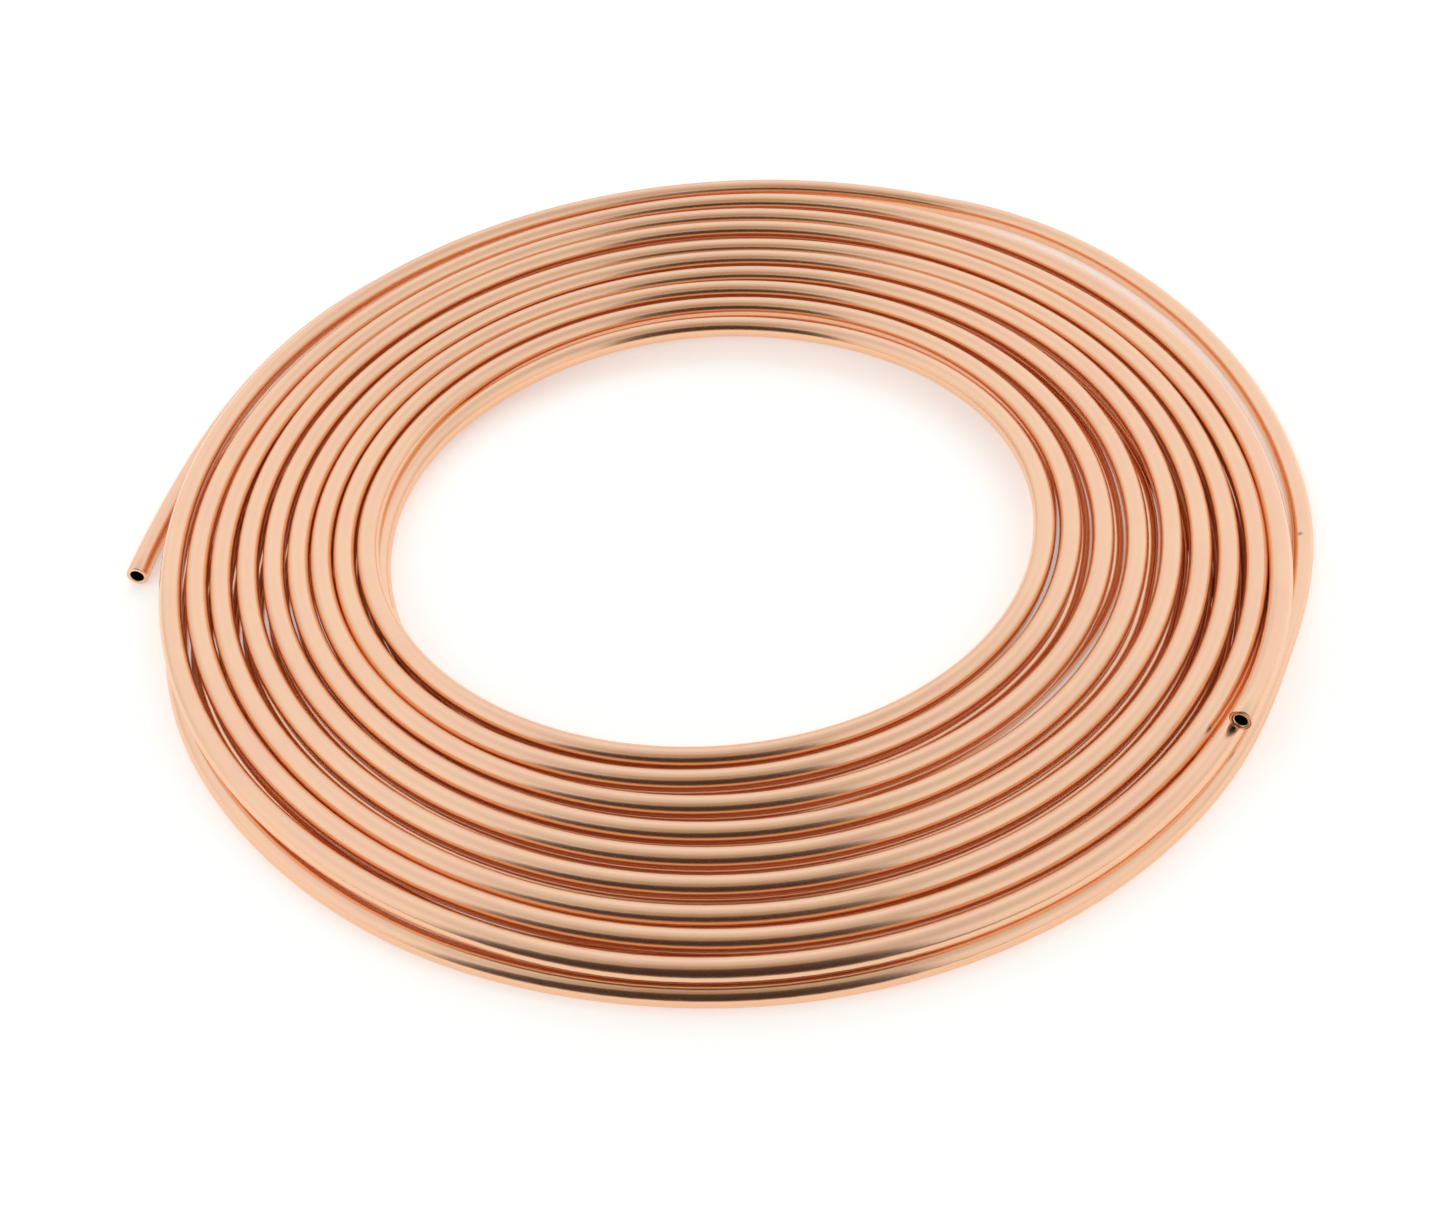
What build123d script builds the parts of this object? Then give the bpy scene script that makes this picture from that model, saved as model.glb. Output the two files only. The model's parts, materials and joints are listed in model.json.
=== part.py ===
from build123d import *
from math import asin, cos, radians, sin, tan
import os

# A flat two-layer coil of soft copper tube, lying on its face.
# Millimetres. Origin on the coil's axis at the level it lies on, +Z up.
# The straight free end at the side points along -Y, at the coil's -X side.

# Driving sizes of the tube
tube_diameter = 6.35
tube_wall = 0.76

# Driving sizes of the winding
hole_diameter = 180.0
turns_per_layer = 9
turn_gap = 2.2
upper_set_back = 4.8

# Side end: the outermost lower turn opens out along a wider arc into a straight run
side_end_run = 12.0
side_end_radius = 500.0
side_end_arc = 7.0
side_end_bed = 0.4

# Top end: the outermost upper turn opens out above the lower layer and lifts into a straight run
top_end_angle = 5.0
top_end_run = 12.0
top_end_radius = 500.0
top_end_arc = 6.7
top_end_lift = 3.4
top_end_bed = 0.3
top_end_sink = 0.5

# How deep each free end is open
bore_depth = 20.0

# Worked out from the sizes above
tube_radius = tube_diameter / 2
bore_radius = tube_radius - tube_wall
first_turn = hole_diameter / 2 + tube_radius
lower_pitch = tube_diameter + turn_gap
lower_last = first_turn + (turns_per_layer - 1) * lower_pitch
upper_last = lower_last - upper_set_back
upper_pitch = (upper_last - first_turn) / (turns_per_layer - 1)
coil_height = 2 * tube_diameter
lower_layer = tube_diameter / 2
upper_layer = lower_layer + tube_diameter

# Each turn shows three flats of an eight-sided rod that the round tube fits into
crest_flat = tube_diameter * tan(radians(22.5))
side_drop = (tube_diameter - crest_flat) / 2


def crests_and_grooves(pitch):
    """From the hole outwards, each turn's flat crest and the groove before the next: reach, depth."""
    points = []
    for turn in range(turns_per_layer):
        centre = first_turn + turn * pitch
        if turn > 0:
            points.append((centre - pitch / 2, (pitch - crest_flat) / 2))
        points.append((centre - crest_flat / 2, 0))
        points.append((centre + crest_flat / 2, 0))
    return points


def coil_section():
    """Outline through all turns: out along the top, down the outside, back along the bottom, up the hole."""
    hole_wall = first_turn - tube_radius
    top = [(reach, coil_height - depth) for reach, depth in crests_and_grooves(upper_pitch)]
    bottom = crests_and_grooves(lower_pitch)
    outside = [
        (upper_last + tube_radius, coil_height - side_drop),
        (upper_last + tube_radius, tube_diameter + side_drop),
        (upper_last + crest_flat / 2, tube_diameter),
        (lower_last + crest_flat / 2, tube_diameter),
        (lower_last + tube_radius, tube_diameter - side_drop),
        (lower_last + tube_radius, side_drop),
    ]
    hole = [
        (hole_wall, side_drop),
        (hole_wall, tube_diameter - side_drop),
        (first_turn - crest_flat / 2, tube_diameter),
        (hole_wall, tube_diameter + side_drop),
        (hole_wall, coil_height - side_drop),
    ]
    return top + outside + bottom[::-1] + hole


def radial(angle):
    """Unit vector from the axis towards an angle in the plan."""
    return Vector(cos(radians(angle)), sin(radians(angle)), 0)


def tangent(angle):
    """Unit vector along the winding, anticlockwise seen from above."""
    return Vector(-sin(radians(angle)), cos(radians(angle)), 0)


# Side end: its arc starts a little inside the outermost lower turn and clear of the level it lies on
side_centre_reach = side_end_radius + side_end_bed - lower_last
side_plane = Plane(
    origin=radial(-side_end_arc) * side_centre_reach + Vector(0, 0, lower_layer + side_end_bed)
)
side_joint = Plane(
    origin=side_plane.origin - Vector(side_end_radius, 0, 0),
    x_dir=(1, 0, 0),
    z_dir=(0, 1, 0),
)
side_mouth = side_joint.offset(-side_end_run)

# Top end: its arc starts sunk into the outermost upper turn, in a plane that rises towards the mouth
top_start = radial(top_end_angle) * (upper_last - top_end_bed) + Vector(0, 0, upper_layer - top_end_sink)
tilt = asin(top_end_lift / (top_end_radius * sin(radians(top_end_arc))))
top_plane = Plane(
    origin=top_start - radial(top_end_angle) * top_end_radius,
    x_dir=radial(top_end_angle),
    z_dir=tangent(top_end_angle) * sin(tilt) + Vector(0, 0, cos(tilt)),
)
arc_end = top_plane.x_dir * cos(radians(top_end_arc)) - top_plane.y_dir * sin(radians(top_end_arc))
top_joint = Plane(
    origin=top_plane.origin + arc_end * top_end_radius,
    x_dir=arc_end,
    z_dir=top_plane.z_dir.cross(arc_end),
)
top_mouth = top_joint.offset(-top_end_run)

with BuildPart() as copper_tube:
    # Both layers of turns, turned as one body round the open middle
    with BuildSketch(Plane.XZ):
        with BuildLine():
            Polyline(*coil_section(), close=True)
        make_face()
    revolve(axis=Axis.Z)

    # The stretch of the side end that leaves the outermost lower turn
    with BuildLine(side_plane) as side_path:
        CenterArc((0, 0), side_end_radius, 180, -side_end_arc)
    with BuildSketch(side_joint):
        RegularPolygon(tube_radius, 8, major_radius=False, rotation=22.5)
    sweep(path=side_path.line)

    # The stretch of the top end that leaves the outermost upper turn
    with BuildLine(top_plane) as top_path:
        CenterArc((0, 0), top_end_radius, -top_end_arc, top_end_arc)
    with BuildSketch(top_joint):
        RegularPolygon(tube_radius, 8, major_radius=False, rotation=22.5)
    sweep(path=top_path.line)

    # Both straight runs
    with BuildSketch(side_mouth):
        Circle(tube_radius)
    extrude(amount=side_end_run)
    with BuildSketch(top_mouth):
        Circle(tube_radius)
    extrude(amount=top_end_run)

    # The open bores
    with BuildSketch(side_mouth, top_mouth):
        Circle(bore_radius)
    extrude(amount=bore_depth, mode=Mode.SUBTRACT)

copper_tube.part.label = "copper_tube"
os.makedirs("parts", exist_ok=True)
export_step(copper_tube.part, "parts/copper_tube.step")
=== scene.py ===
import json
from math import cos, radians, sin

import bmesh
import bpy
import numpy as np
from mathutils import Matrix, Vector


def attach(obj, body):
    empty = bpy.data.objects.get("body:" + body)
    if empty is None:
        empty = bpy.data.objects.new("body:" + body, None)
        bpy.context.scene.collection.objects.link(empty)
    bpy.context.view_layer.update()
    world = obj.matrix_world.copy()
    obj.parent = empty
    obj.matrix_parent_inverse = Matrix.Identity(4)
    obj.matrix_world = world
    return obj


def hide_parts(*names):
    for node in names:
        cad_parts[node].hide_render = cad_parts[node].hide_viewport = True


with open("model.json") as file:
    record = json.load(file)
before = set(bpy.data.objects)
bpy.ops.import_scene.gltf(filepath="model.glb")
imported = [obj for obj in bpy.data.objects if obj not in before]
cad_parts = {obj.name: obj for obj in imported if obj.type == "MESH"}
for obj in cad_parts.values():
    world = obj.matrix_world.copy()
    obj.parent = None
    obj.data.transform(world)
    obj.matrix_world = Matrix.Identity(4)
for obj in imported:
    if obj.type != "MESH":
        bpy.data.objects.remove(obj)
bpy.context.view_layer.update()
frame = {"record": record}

# A coil of soft copper tube in two layers, lying flat. Metres, +Z up, origin on the coil's axis.
# Going round the coil, 0 degrees is the camera's right and 90 degrees is the back.

# The tube, and how far the coil reaches from its axis
TUBE_RADIUS = frame["record"]["mounts"][0]["dims"]["r_mm"] / 1000
TUBE_DIAMETER = 2 * TUBE_RADIUS
TUBE_WALL = 0.00076
BORE_RADIUS = TUBE_RADIUS - TUBE_WALL
COIL_REACH = 0.16494

# The camera's right lies this far round from the frame's +X
LYING_TURN = radians(18)
TURNED = Matrix.Rotation(LYING_TURN, 4, "Z")

# How high the middle of the tube lies in each layer, in tube diameters
LOWER_LAYER = 0.5
UPPER_LAYER = 1.5

# The tube is followed from the top end's mouth. After this much winding the lower laps and the
# loose outermost ones start to count, in degrees from the camera's right
FULL_TURN = 360.0
FRONT = 270.0
LOWER_START = 8 * FULL_TURN
OUTER_START = 16 * FULL_TURN

# How fine the tube's skin is
PATH_STEP = 2.5
SIDES = 24
BORE_RINGS = 6

# The cutter has turned each mouth's lip in by a different amount
TOP_MOUTH_RADIUS = 0.00175
SIDE_MOUTH_RADIUS = 0.0020

# Inside the bore the skin's place round the tube is stored at this share of its size,
# by which the copper's material tells the bore from the outside and paints the bore's shade
BORE_MARK = 0.5

# Colours and finish of the copper, with painted shade for the tube's sides and its bore
COPPER_YELLOWER = (0.955, 0.635, 0.43)
COPPER_PINKER = (0.95, 0.60, 0.43)
# Painted shade on the tube's sides, where they face the neighbouring turns
SIDES_PAINTED_SHADE = (0.90, 0.55, 0.35)
# Painted shade: the bore's dark colour stands in for the shade inside the tube
BORE_PAINTED_SHADE = (0.10, 0.07, 0.05)
SCUFF_COLOUR = (0.40, 0.33, 0.27)
SMOOTHEST, ROUGHEST = 0.19, 0.27
LINE_SCALE, LINE_DETAIL, LINE_LENGTHWISE = 900.0, 3.0, 0.02
CLOUD_SCALE, CLOUD_DETAIL = 60.0, 4.0
YELLOWER_UP_TO, PINKER_FROM = 0.35, 0.65

# Shares of the tube's radius: where its crest gives way to the painted shade of its sides,
# and where the bore's painted shade has given way to the lip's colour
CREST_UP_TO, SIDE_SHADE_FROM = 0.55, 0.95
LIP_FROM = 0.9

# The scuff low on the outermost lap, near the camera's right
SCUFF_REACH = 0.9925 * COIL_REACH
SCUFF_TURN = radians(-11.2) + LYING_TURN
SCUFF_PLACE = Vector((SCUFF_REACH * cos(SCUFF_TURN), SCUFF_REACH * sin(SCUFF_TURN), 0.0060))
SCUFF_CORE, SCUFF_EDGE = 0.0003, 0.0011

# The floor, and the light it adds for the camera and for reflections alone
FLOOR_HALF = 6.0
FLOOR_COLOUR = (0.92, 0.92, 0.92)
FLOOR_LIFT = 0.33

# The dark cloth in front of the coil: a curtain that hangs and a mat that lies
CLOTH_COLOUR = (0.05, 0.018, 0.008)
CLOTH_LEFT, CLOTH_RIGHT = -0.88, 0.29
CURTAIN_PLACE, CURTAIN_TOP = -0.73, 1.03
MAT_EDGE, MAT_HEIGHT = -0.195, 0.001

# The light tent. Each dim place: degrees from the camera's side towards its right, degrees up,
# where its fading starts and ends in degrees from its middle, and how much light is left there
TENT_LIGHT = 0.985
DIM_PLACES = (
    (46, 84, 11, 60, 0.70),
    (-22, 67, 6, 32, 0.60),
    (186, 11, 8, 30, 0.85),
    (-121, 8, 0, 38, 0.80),
    (87, 16, 0, 34, 0.81),
)

# The tent's cloth turns warmer the dimmer it is: share of the light, colour
TENT_CLOTH = (
    (0.10, (0.10, 0.04, 0.02)),
    (0.20, (0.21, 0.10, 0.05)),
    (0.30, (0.31, 0.18, 0.095)),
    (0.40, (0.41, 0.28, 0.19)),
    (0.50, (0.51, 0.42, 0.31)),
    (0.60, (0.61, 0.56, 0.48)),
    (0.70, (0.71, 0.69, 0.63)),
    (0.80, (0.81, 0.80, 0.78)),
    (0.95, (0.96, 0.96, 0.96)),
    (1.00, (1.0, 1.0, 1.0)),
)

# The camera: its focal length is written as pixels of the picture's full width
CAMERA_RISE = radians(44.385)
CAMERA_ROLL = radians(-5.58)
CAMERA_DISTANCE = 3.43809 * COIL_REACH
LOOKED_AT = Vector((-0.0014, -0.1689, -0.0188)) * COIL_REACH
FOCAL_PIXELS, PICTURE_PIXELS = 2012.39, 1448
SENSOR_WIDTH = 36

# Between touching turns light goes from tube to tube several times
TUBE_TO_TUBE = 10

# The upper layer as the photo shows it, wound inwards: each lap's reach as a share of the
# coil's, at every eighth of a turn from the camera's right
UPPER_LAPS = (
    (0.942, 0.930, 0.936, 0.919, 0.903, 0.898, 0.929, 0.939),
    (0.902, 0.875, 0.885, 0.875, 0.861, 0.859, 0.887, 0.892),
    (0.859, 0.833, 0.840, 0.834, 0.816, 0.811, 0.833, 0.843),
    (0.815, 0.782, 0.776, 0.781, 0.771, 0.763, 0.781, 0.792),
    (0.769, 0.740, 0.735, 0.733, 0.728, 0.720, 0.733, 0.740),
    (0.712, 0.687, 0.681, 0.688, 0.688, 0.678, 0.681, 0.684),
    (0.656, 0.632, 0.634, 0.644, 0.648, 0.639, 0.628, 0.627),
    (0.604, 0.582, 0.579, 0.594, 0.607, 0.593, 0.583, 0.581),
)

# The lower layer, wound outwards: degrees past the front, and each lap's reach there. It is
# mostly hidden, and lies so that the gaps between the upper laps show tube or floor as in the photo
LOWER_LAPS = 8
LOWER_COURSES = (
    (0, (0.580, 0.629, 0.681, 0.731, 0.781, 0.834, 0.882, 0.938)),
    (45, (0.565, 0.633, 0.673, 0.745, 0.799, 0.850, 0.898, 0.940)),
    (60, (0.566, 0.634, 0.682, 0.748, 0.799, 0.8445, 0.8895, 0.929)),
    (68, (0.567, 0.630, 0.686, 0.743, 0.793, 0.838, 0.877, 0.916)),
    (75, (0.5685, 0.6285, 0.6855, 0.742, 0.791, 0.8305, 0.8695, 0.909)),
    (90, (0.576, 0.627, 0.683, 0.738, 0.777, 0.817, 0.857, 0.896)),
    (105, (0.578, 0.6255, 0.6805, 0.720, 0.765, 0.810, 0.852, 0.892)),
    (120, (0.578, 0.622, 0.667, 0.711, 0.758, 0.804, 0.848, 0.891)),
    (190, (0.575, 0.617, 0.663, 0.708, 0.753, 0.798, 0.843, 0.888)),
    (270, (0.633, 0.673, 0.718, 0.762, 0.803, 0.8435, 0.8845)),
    (280, (0.6345, 0.676, 0.7255, 0.7705, 0.8155, 0.857, 0.901)),
    (285, (0.6345, 0.6785, 0.7265, 0.773, 0.820, 0.863, 0.909)),
    (315, (0.633, 0.682, 0.7255, 0.7695, 0.8185, 0.865, 0.917)),
    (330, (0.631, 0.682, 0.727, 0.772, 0.8205, 0.870, 0.9295)),
)


def level(height, *places):
    """Stations of a stretch that keeps its height."""
    return [(turn, reach, height) for turn, reach in places]


def counted_from(start, stations):
    """The same stations with their turns counted from the start of the winding."""
    return [(start + turn, reach, height) for turn, reach, height in stations]


def upper_stations():
    """Where the tube runs in the upper layer: turn in degrees, reach, height in tube diameters."""
    top_end = [(-39.7, 0.9862, 2.15), (-30.0, 0.973, 1.93), (-15.0, 0.954, 1.65)]
    laps = [
        ((lap + eighth / 8) * FULL_TURN, reach, UPPER_LAYER)
        for lap, reaches in enumerate(UPPER_LAPS)
        for eighth, reach in enumerate(reaches)
    ]
    return top_end + laps


def lower_stations():
    """Where the tube drops at the inside of the coil and runs outwards in the lower layer."""
    hanging = level(UPPER_LAYER, (0, 0.560), (20, 0.545), (45, 0.525))
    drop = [
        (75, 0.5145, 1.48),
        (90, 0.519, 1.45),
        (135, 0.556, 1.1),
        (150, 0.574, 0.92),
        (165, 0.586, 0.75),
        (190, 0.594, LOWER_LAYER),
    ]
    laps = [
        (FRONT + lap * FULL_TURN + turn, reaches[lap], LOWER_LAYER)
        for lap in range(LOWER_LAPS)
        for turn, reaches in LOWER_COURSES
        if lap < len(reaches)
    ]
    return counted_from(LOWER_START, hanging + drop + laps)


def outer_stations():
    """The loose outermost laps: on the floor, up onto the upper layer, and down to the side end."""
    front_and_right = level(
        LOWER_LAYER,
        (150, 0.943), (165, 0.942), (180, 0.938), (200, 0.956), (220, 0.966),
        (240, 0.978), (255, 0.983), (270, 0.9915), (300, 0.998), (315, 0.992),
        (322, 0.986), (332, 0.979), (340, 0.986), (350, 0.999), (360, 1.006),
        (390, 1.033), (420, 1.047),
    )
    climb = [(430, 1.0265, 0.85), (440, 1.0115, 1.12), (450, 0.9955, 1.37)]
    upper_lap = level(
        UPPER_LAYER,
        (460, 0.987), (480, 0.983), (495, 0.977), (510, 0.969), (525, 0.9575),
        (540, 0.948), (560, 0.944), (590, 0.948), (600, 0.954), (610, 0.9625),
        (620, 0.971), (630, 0.977), (660, 0.985), (675, 0.978),
    )
    drop = [(682, 0.970, 1.3), (700, 0.952, 0.75)]
    side_end = level(
        LOWER_LAYER,
        (720, 0.935), (765, 0.932), (785, 0.937), (800, 0.953), (820, 0.991),
        (835, 1.020), (850, 1.030), (870, 1.010), (880, 0.9995), (888.9, 1.0006),
        (895, 1.0106), (899.65, 1.0228),
    )
    return counted_from(OUTER_START, front_and_right + climb + upper_lap + drop + side_end)


def smooth_through(turns, values, at):
    """Values of the smooth line through the stations, with a curvature that never jumps."""
    step = np.diff(turns)
    slope = np.diff(values) / step
    count = len(turns)
    system = np.zeros((count, count))
    known = np.zeros(count)
    system[0, 0] = 1.0
    system[-1, -1] = 1.0
    for i in range(1, count - 1):
        system[i, i - 1] = step[i - 1]
        system[i, i] = 2 * (step[i - 1] + step[i])
        system[i, i + 1] = step[i]
        known[i] = 6 * (slope[i] - slope[i - 1])
    bend = np.linalg.solve(system, known)
    i = np.clip(np.searchsorted(turns, at) - 1, 0, count - 2)
    before, after = at - turns[i], turns[i + 1] - at
    return (
        (bend[i] * after**3 + bend[i + 1] * before**3) / (6 * step[i])
        + (values[i] / step[i] - bend[i] * step[i] / 6) * after
        + (values[i + 1] / step[i] - bend[i + 1] * step[i] / 6) * before
    )


def tube_path():
    """Points along the middle of the tube, from the top end's mouth to the side end's."""
    stations = np.array(upper_stations() + lower_stations() + outer_stations())
    station_turn, station_reach, station_height = stations.T
    first, last = station_turn[0], station_turn[-1]
    turn = np.linspace(first, last, int((last - first) / PATH_STEP) + 1)
    reach = smooth_through(station_turn, station_reach, turn) * COIL_REACH
    height = smooth_through(station_turn, station_height, turn)
    height = np.maximum(height, LOWER_LAYER) * TUBE_DIAMETER
    around = np.radians(turn) + LYING_TURN
    return np.column_stack([reach * np.cos(around), reach * np.sin(around), height])


def path_curve(points):
    """One open line through the middle of the tube."""
    curve = bpy.data.curves.new("tube_path", "CURVE")
    curve.dimensions = "3D"
    spline = curve.splines.new("POLY")
    spline.points.add(len(points) - 1)
    for point, place in zip(spline.points, points):
        point.co = (*place, 1.0)
    line = bpy.data.objects.new("tube_path", curve)
    bpy.context.scene.collection.objects.link(line)
    return line


def round_tube_tree():
    """Node tree: a round skin along a path, which stores where its points lie on the tube."""
    tree = bpy.data.node_groups.new("Round tube along a path", "GeometryNodeTree")
    add, join = tree.nodes.new, tree.links.new
    face = tree.interface
    face.new_socket("Geometry", in_out="INPUT", socket_type="NodeSocketGeometry")
    face.new_socket("Tube radius", in_out="INPUT", socket_type="NodeSocketFloat")
    face.new_socket("Sides", in_out="INPUT", socket_type="NodeSocketInt")
    face.new_socket("Finish", in_out="INPUT", socket_type="NodeSocketMaterial")
    face.new_socket("Geometry", in_out="OUTPUT", socket_type="NodeSocketGeometry")
    given = add("NodeGroupInput")
    result = add("NodeGroupOutput")

    def stored(name, kind, geometry, value):
        """The geometry with a value kept on its points under a name that the material reads."""
        keep = add("GeometryNodeStoreNamedAttribute")
        keep.data_type = kind
        keep.domain = "POINT"
        keep.inputs["Name"].default_value = name
        join(geometry, keep.inputs["Geometry"])
        join(value, keep.inputs["Value"])
        return keep.outputs["Geometry"]

    # The path keeps how far along it each point is
    upright = add("GeometryNodeSetCurveNormal")
    upright.mode = "Z_UP"
    join(given.outputs["Geometry"], upright.inputs["Curve"])
    along = add("GeometryNodeSplineParameter").outputs["Length"]
    path = stored("along", "FLOAT", upright.outputs["Curve"], along)

    # The ring keeps each point's place on it: X sideways, Y up or down
    ring = add("GeometryNodeCurvePrimitiveCircle")
    join(given.outputs["Sides"], ring.inputs["Resolution"])
    join(given.outputs["Tube radius"], ring.inputs["Radius"])
    around = add("GeometryNodeInputPosition").outputs["Position"]
    profile = stored("around", "FLOAT_VECTOR", ring.outputs["Curve"], around)

    skin = add("GeometryNodeCurveToMesh")
    join(path, skin.inputs["Curve"])
    join(profile, skin.inputs["Profile Curve"])
    smooth = add("GeometryNodeSetShadeSmooth")
    join(skin.outputs["Mesh"], smooth.inputs["Geometry"])
    whole = add("GeometryNodeRealizeInstances")
    join(smooth.outputs["Geometry"], whole.inputs["Geometry"])
    coat = add("GeometryNodeSetMaterial")
    join(whole.outputs["Geometry"], coat.inputs["Geometry"])
    join(given.outputs["Finish"], coat.inputs["Material"])
    join(coat.outputs["Geometry"], result.inputs["Geometry"])
    return tree


def made_mesh(line, tree, sizes):
    """The plain mesh that the node tree makes of the line with these sizes."""
    modifier = line.modifiers.new("shape", "NODES")
    modifier.node_group = tree
    for socket in tree.interface.items_tree:
        if socket.in_out == "INPUT" and socket.name in sizes:
            modifier[socket.identifier] = sizes[socket.name]
    line.update_tag()
    evaluated = line.evaluated_get(bpy.context.evaluated_depsgraph_get())
    mesh = bpy.data.meshes.new_from_object(evaluated)
    bpy.data.objects.remove(line)
    return mesh


def lip_profile(mouth):
    """The cut end from the outside into the bore: how far out, radius, mark from 1 to BORE_MARK."""
    return (
        (0.00022, TUBE_RADIUS - 0.00008, 1.0),
        (0.00033, TUBE_RADIUS - 0.00022, 1.0),
        (0.00036, TUBE_RADIUS - 0.0005, 1.0),
        (0.00034, mouth + 0.0002, 1.0),
        (0.00022, mouth, 0.9),
        (-0.0002, mouth, BORE_MARK),
        (-0.0014, BORE_RADIUS, BORE_MARK),
    )


def open_mouth(work, rings, mouth):
    """A lip turned in by the cutter and a bore that follows the tube inwards, in one open end.

    The rings are those of the tube's skin, from the end inwards.
    """
    along = work.verts.layers.float["along"]
    around = work.verts.layers.float_vector["around"]
    middles = [sum((vert.co for vert in ring), Vector()) / SIDES for ring in rings]
    out = (middles[0] - middles[1]).normalized()
    shape = [
        (middles[0] + out * reach, 0, radius, mark)
        for reach, radius, mark in lip_profile(mouth)
    ]
    shape += [(middles[step], step, BORE_RADIUS, BORE_MARK) for step in range(1, len(rings))]
    last = rings[0]
    for centre, step, radius, mark in shape:
        fresh = []
        for vert in rings[step]:
            copy = work.verts.new(centre + (vert.co - middles[step]) * (radius / TUBE_RADIUS))
            copy[along] = vert[along]
            copy[around] = vert[around] * mark
            fresh.append(copy)
        for side in range(SIDES):
            ahead = (side + 1) % SIDES
            work.faces.new((last[side], last[ahead], fresh[ahead], fresh[side]))
        last = fresh
    work.faces.new(last)


def open_mouths(mesh):
    """Both ends of the tube's skin get their lips and bores."""
    work = bmesh.new()
    work.from_mesh(mesh)
    skin = list(work.verts)
    from_top = [skin[step * SIDES:(step + 1) * SIDES] for step in range(BORE_RINGS)]
    from_side = [
        skin[len(skin) - (step + 1) * SIDES:len(skin) - step * SIDES]
        for step in range(BORE_RINGS)
    ]
    open_mouth(work, from_top, TOP_MOUTH_RADIUS)
    open_mouth(work, from_side, SIDE_MOUTH_RADIUS)
    for face in work.faces:
        face.smooth = True
    bmesh.ops.recalc_face_normals(work, faces=work.faces)
    work.to_mesh(mesh)
    work.free()


def worked_out(tree, kind, operation, *given):
    """The value of a Math or Vector Math node, given numbers, vectors or other nodes' values."""
    node = tree.nodes.new(kind)
    node.operation = operation
    for value, socket in zip(given, node.inputs):
        if isinstance(value, bpy.types.NodeSocket):
            tree.links.new(value, socket)
        else:
            socket.default_value = value
    return node.outputs["Value"]


def faded(tree, value, start, end, low=0.0, high=1.0, smooth=False):
    """A value that goes from low to high while the given one goes from start to end."""
    fade = tree.nodes.new("ShaderNodeMapRange")
    if smooth:
        fade.interpolation_type = "SMOOTHSTEP"
    fade.inputs["From Min"].default_value = start
    fade.inputs["From Max"].default_value = end
    fade.inputs["To Min"].default_value = low
    fade.inputs["To Max"].default_value = high
    tree.links.new(value, fade.inputs["Value"])
    return fade.outputs["Result"]


def blended(tree, factor, first, second):
    """The first colour turning into the second; each is a plain colour or another node's."""
    mix = tree.nodes.new("ShaderNodeMix")
    mix.data_type = "RGBA"
    tree.links.new(factor, mix.inputs["Factor"])
    for colour, socket in ((first, mix.inputs["A"]), (second, mix.inputs["B"])):
        if isinstance(colour, bpy.types.NodeSocket):
            tree.links.new(colour, socket)
        else:
            socket.default_value = (*colour, 1)
    return mix.outputs["Result"]


def noise(tree, place, scale, detail):
    """Soft random patches."""
    patches = tree.nodes.new("ShaderNodeTexNoise")
    patches.inputs["Scale"].default_value = scale
    patches.inputs["Detail"].default_value = detail
    tree.links.new(place, patches.inputs["Vector"])
    return patches.outputs["Fac"]


def kept_value(tree, name):
    """A value that the mesh keeps on its points, as the attribute node's outputs."""
    node = tree.nodes.new("ShaderNodeAttribute")
    node.attribute_name = name
    return node.outputs


def bright_copper():
    """Soft drawn copper: a satin metal with faint lines along the tube and a little uneven colour."""
    material = bpy.data.materials.new("bright_copper")
    material.use_nodes = True
    tree = material.node_tree
    shader = tree.nodes["Principled BSDF"]
    shader.inputs["Metallic"].default_value = 1.0
    place = tree.nodes.new("ShaderNodeTexCoord").outputs["Object"]
    around = kept_value(tree, "around")["Vector"]
    along = kept_value(tree, "along")["Fac"]
    parts = tree.nodes.new("ShaderNodeSeparateXYZ")
    tree.links.new(around, parts.inputs["Vector"])

    # Drawing the tube left faint lines along it
    skin = tree.nodes.new("ShaderNodeCombineXYZ")
    tree.links.new(parts.outputs["X"], skin.inputs["X"])
    tree.links.new(parts.outputs["Y"], skin.inputs["Y"])
    lengthwise = worked_out(tree, "ShaderNodeMath", "MULTIPLY", along, LINE_LENGTHWISE)
    tree.links.new(lengthwise, skin.inputs["Z"])
    lines = noise(tree, skin.outputs["Vector"], LINE_SCALE, LINE_DETAIL)
    rough = faded(tree, lines, 0.0, 1.0, SMOOTHEST, ROUGHEST)
    tree.links.new(rough, shader.inputs["Roughness"])

    # The colour is a little uneven
    clouds = noise(tree, place, CLOUD_SCALE, CLOUD_DETAIL)
    pinker = faded(tree, clouds, YELLOWER_UP_TO, PINKER_FROM)
    colour = blended(tree, pinker, COPPER_YELLOWER, COPPER_PINKER)

    # Painted shade: the tube's sides, which face the neighbouring turns, get a darker, deeper colour
    # than its crest, standing in for the shade and the tube-to-tube light in the grooves
    aside = worked_out(tree, "ShaderNodeMath", "ABSOLUTE", parts.outputs["X"])
    side = faded(tree, aside, CREST_UP_TO * TUBE_RADIUS, SIDE_SHADE_FROM * TUBE_RADIUS, smooth=True)
    colour = blended(tree, side, colour, SIDES_PAINTED_SHADE)

    # Painted shade: the bore and its closing cap are coloured dark, for the shade inside the tube
    from_middle = worked_out(tree, "ShaderNodeVectorMath", "LENGTH", around)
    outside = faded(tree, from_middle, BORE_MARK * TUBE_RADIUS, LIP_FROM * TUBE_RADIUS)
    colour = blended(tree, outside, BORE_PAINTED_SHADE, colour)

    # The outermost lap carries a small scuff
    from_scuff = worked_out(tree, "ShaderNodeVectorMath", "DISTANCE", place, SCUFF_PLACE)
    clear = faded(tree, from_scuff, SCUFF_CORE, SCUFF_EDGE, smooth=True)
    colour = blended(tree, clear, SCUFF_COLOUR, colour)
    tree.links.new(colour, shader.inputs["Base Color"])
    return material


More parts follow.
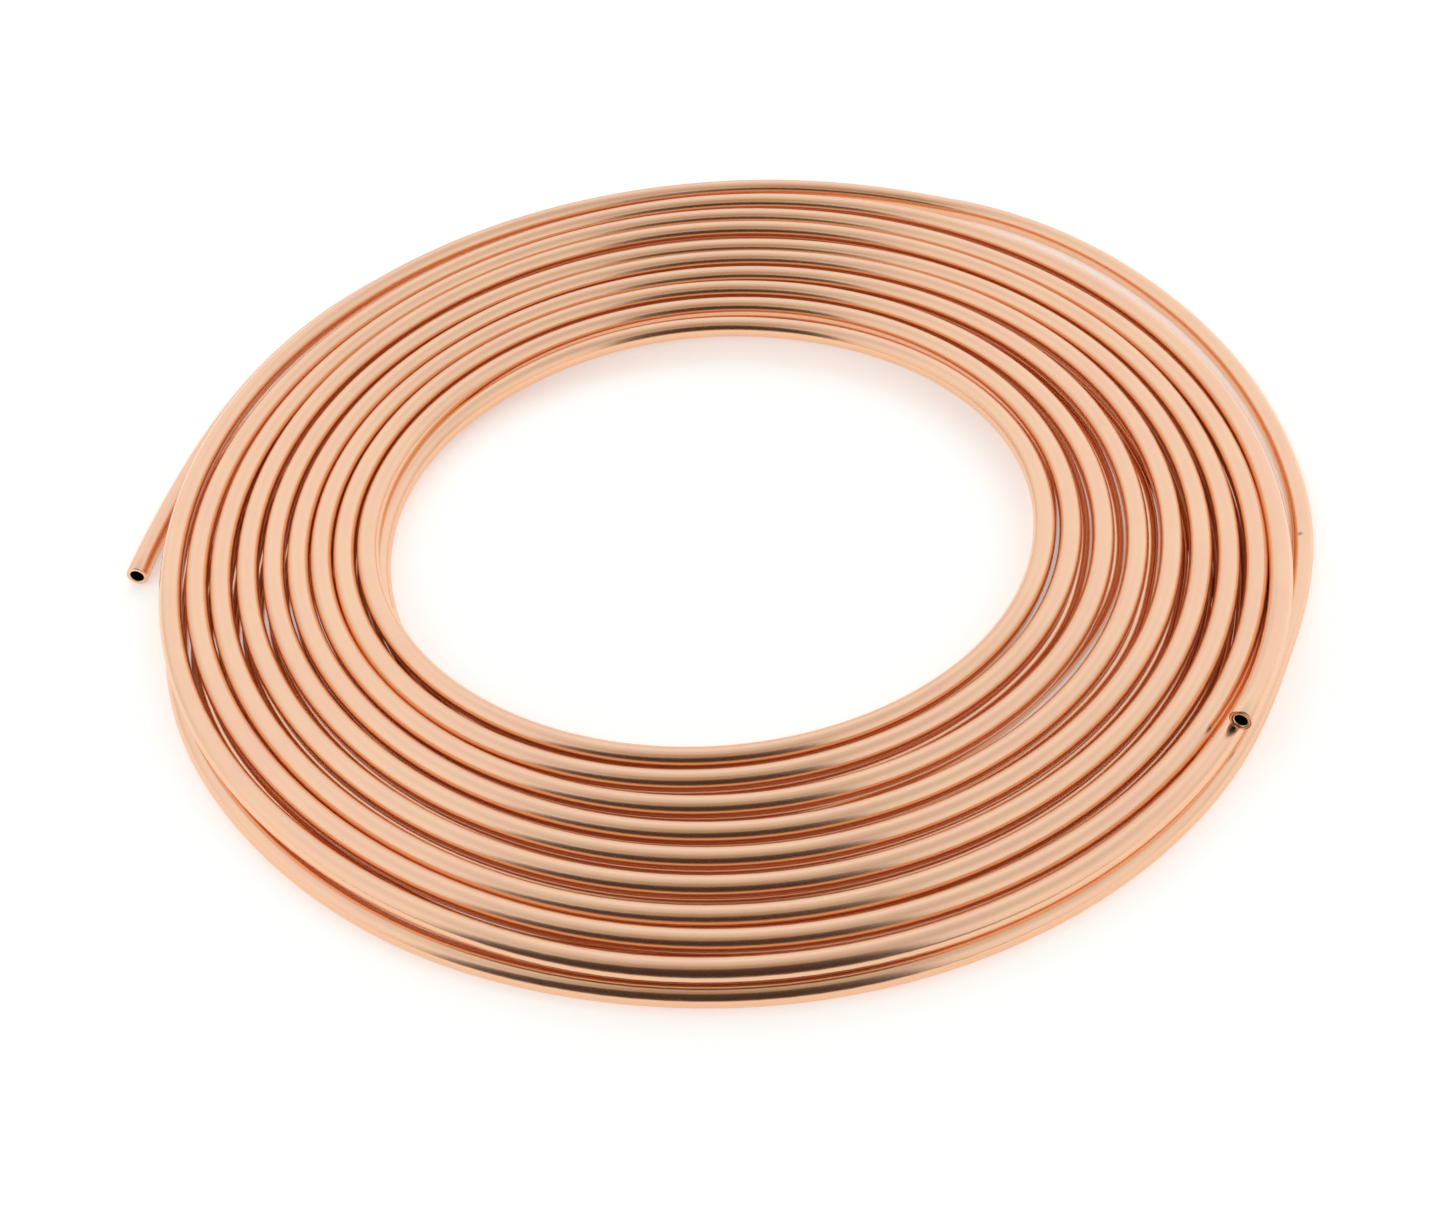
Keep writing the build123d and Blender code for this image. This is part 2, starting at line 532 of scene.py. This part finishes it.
def wound_tube():
    """The whole coil: one tube from the top end's mouth to the side end's."""
    sizes = {"Tube radius": TUBE_RADIUS, "Sides": SIDES, "Finish": bright_copper()}
    mesh = made_mesh(path_curve(tube_path()), round_tube_tree(), sizes)
    open_mouths(mesh)
    tube = bpy.data.objects.new("wound_tube", mesh)
    bpy.context.scene.collection.objects.link(tube)
    return tube


def seen_directly(tree):
    """1 for the camera's own rays and for those by way of metal or glass, otherwise 0."""
    rays = tree.nodes.new("ShaderNodeLightPath").outputs
    first = worked_out(tree, "ShaderNodeMath", "ADD", rays["Is Camera Ray"], rays["Is Glossy Ray"])
    seen = worked_out(tree, "ShaderNodeMath", "ADD", first, rays["Is Transmission Ray"])
    seen.node.use_clamp = True
    return seen


def pale_floor():
    """The floor's white, a little lifted where it is seen, so that the coil's shadow stays on it."""
    material = bpy.data.materials.new("pale_floor")
    material.use_nodes = True
    tree = material.node_tree
    shader = tree.nodes["Principled BSDF"]
    shader.inputs["Base Color"].default_value = (*FLOOR_COLOUR, 1)
    shader.inputs["Roughness"].default_value = 1.0
    shader.inputs["Specular IOR Level"].default_value = 0.0
    shader.inputs["Emission Color"].default_value = (1, 1, 1, 1)
    lift = worked_out(tree, "ShaderNodeMath", "MULTIPLY", seen_directly(tree), FLOOR_LIFT)
    tree.links.new(lift, shader.inputs["Emission Strength"])
    return material


def dark_cloth():
    """The dull dark cloth of the curtain and the mat."""
    material = bpy.data.materials.new("dark_cloth")
    material.use_nodes = True
    shader = material.node_tree.nodes["Principled BSDF"]
    shader.inputs["Base Color"].default_value = (*CLOTH_COLOUR, 1)
    shader.inputs["Roughness"].default_value = 1.0
    return material


def flat_panel(name, corners, material):
    """A flat piece of the studio with four corners."""
    mesh = bpy.data.meshes.new(name)
    mesh.from_pydata(corners, [], [(0, 1, 2, 3)])
    mesh.materials.append(material)
    panel = bpy.data.objects.new(name, mesh)
    bpy.context.scene.collection.objects.link(panel)
    return panel


def floor():
    """The floor that the coil lies on."""
    half = FLOOR_HALF
    corners = [(-half, -half, 0), (half, -half, 0), (half, half, 0), (-half, half, 0)]
    flat_panel("floor", corners, pale_floor())


def cloth_panel(name, near, far):
    """A piece of dark cloth between two edges, each given as how far back and how high it is.

    Metal shows it, but the camera doesn't, and it shades nothing.
    """
    corners = (
        (CLOTH_LEFT, *near), (CLOTH_RIGHT, *near), (CLOTH_RIGHT, *far), (CLOTH_LEFT, *far)
    )
    panel = flat_panel(name, [TURNED @ Vector(corner) for corner in corners], dark_cloth())
    panel.visible_camera = False
    panel.visible_diffuse = False
    panel.visible_shadow = False
    panel.visible_transmission = False


def towards(azimuth, rise):
    """Unit vector to a place in the studio: degrees from the camera's side towards its right, and up."""
    across, up = radians(azimuth), radians(rise)
    return TURNED @ Vector((sin(across) * cos(up), -cos(across) * cos(up), sin(up)))


def light_tent():
    """A white tent all round with a few dimmer places."""
    world = bpy.data.worlds.new("light_tent")
    bpy.context.scene.world = world
    world.use_nodes = True
    tree = world.node_tree
    direction = tree.nodes.new("ShaderNodeTexCoord").outputs["Generated"]
    light = 1.0
    for azimuth, rise, inner, outer, left in DIM_PLACES:
        middle = towards(azimuth, rise)
        across = worked_out(tree, "ShaderNodeVectorMath", "DOT_PRODUCT", direction, middle)
        angle = worked_out(tree, "ShaderNodeMath", "ARCCOSINE", across)
        place = faded(tree, angle, radians(inner), radians(outer), left, 1.0, smooth=True)
        light = worked_out(tree, "ShaderNodeMath", "MULTIPLY", light, place)
    cloth = tree.nodes.new("ShaderNodeValToRGB")
    stops = cloth.color_ramp.elements
    for stop, (share, colour) in ((stops[0], TENT_CLOTH[0]), (stops[1], TENT_CLOTH[-1])):
        stop.position = share
        stop.color = (*colour, 1)
    for share, colour in TENT_CLOTH[1:-1]:
        stops.new(share).color = (*colour, 1)
    tree.links.new(light, cloth.inputs["Fac"])
    background = tree.nodes["Background"]
    tree.links.new(cloth.outputs["Color"], background.inputs["Color"])
    background.inputs["Strength"].default_value = TENT_LIGHT


def camera():
    """A camera at the photo's angle."""
    lens = bpy.data.cameras.new("camera")
    lens.sensor_width = SENSOR_WIDTH
    lens.lens = FOCAL_PIXELS / PICTURE_PIXELS * SENSOR_WIDTH
    back = Vector((0, -cos(CAMERA_RISE), sin(CAMERA_RISE)))
    right = Vector((1, 0, 0))
    up = back.cross(right)
    rolled_right = right * cos(CAMERA_ROLL) + up * sin(CAMERA_ROLL)
    rolled_up = up * cos(CAMERA_ROLL) - right * sin(CAMERA_ROLL)
    stand = Matrix((rolled_right, rolled_up, back)).transposed().to_4x4()
    stand.translation = LOOKED_AT + back * CAMERA_DISTANCE
    holder = bpy.data.objects.new("camera", lens)
    holder.matrix_world = TURNED @ stand
    bpy.context.scene.collection.objects.link(holder)
    bpy.context.scene.camera = holder


tube = wound_tube()
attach(tube, "root")
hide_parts("copper_tube")

floor()
cloth_panel("dark_curtain", (CURTAIN_PLACE, 0), (CURTAIN_PLACE, CURTAIN_TOP))
cloth_panel("dark_mat", (CURTAIN_PLACE, MAT_HEIGHT), (MAT_EDGE, MAT_HEIGHT))
light_tent()
camera()
bpy.context.scene.view_settings.view_transform = "Standard"
bpy.context.scene.cycles.glossy_bounces = TUBE_TO_TUBE
